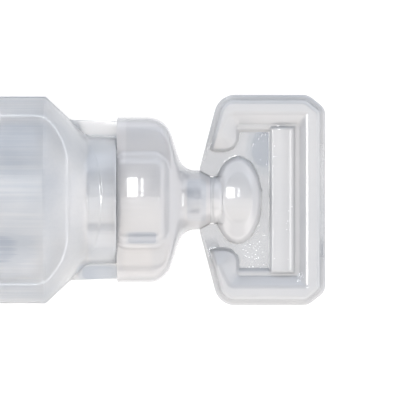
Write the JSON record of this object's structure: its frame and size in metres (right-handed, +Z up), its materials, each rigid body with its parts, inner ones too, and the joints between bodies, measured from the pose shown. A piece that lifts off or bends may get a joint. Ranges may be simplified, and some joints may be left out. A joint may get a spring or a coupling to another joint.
{
  "type": "saline ampoule",
  "caption": "Blow-moulded squeeze ampoule of clear saline: round body with flat panels, waist, flared collar, and a framed twist-off tab on its nozzle.",
  "frame": {"origin": "on the resting plane, under the middle of the ampoule as it lies on its back panel", "axes": "+X along the ampoule from its base to its twist-off tab, +Y across it in the plane of the tab, +Z up out of the front panel"},
  "size_m": [0.065, 0.021, 0.0199],
  "materials": {
    "natural_polyethylene": "satin",
    "saline": "clear liquid"
  },
  "bodies": {
    "container": {"container_shell": "natural_polyethylene", "saline_fill": "saline"},
    "seal": {"frangible_seal": "natural_polyethylene"},
    "tab": {"twist_off_tab": "natural_polyethylene"}
  },
  "joints": [
    {"name": "seal_pull", "type": "slide", "parent": "container", "child": "seal", "axis": [1, 0, 0], "range_m": [0, 0.025]},
    {"name": "tab_twist", "type": "hinge", "parent": "seal", "child": "tab", "pos_m": [0.0213, 0, 0.00995], "axis": [1, 0, 0], "range_deg": [-180, 180]}
  ]
}
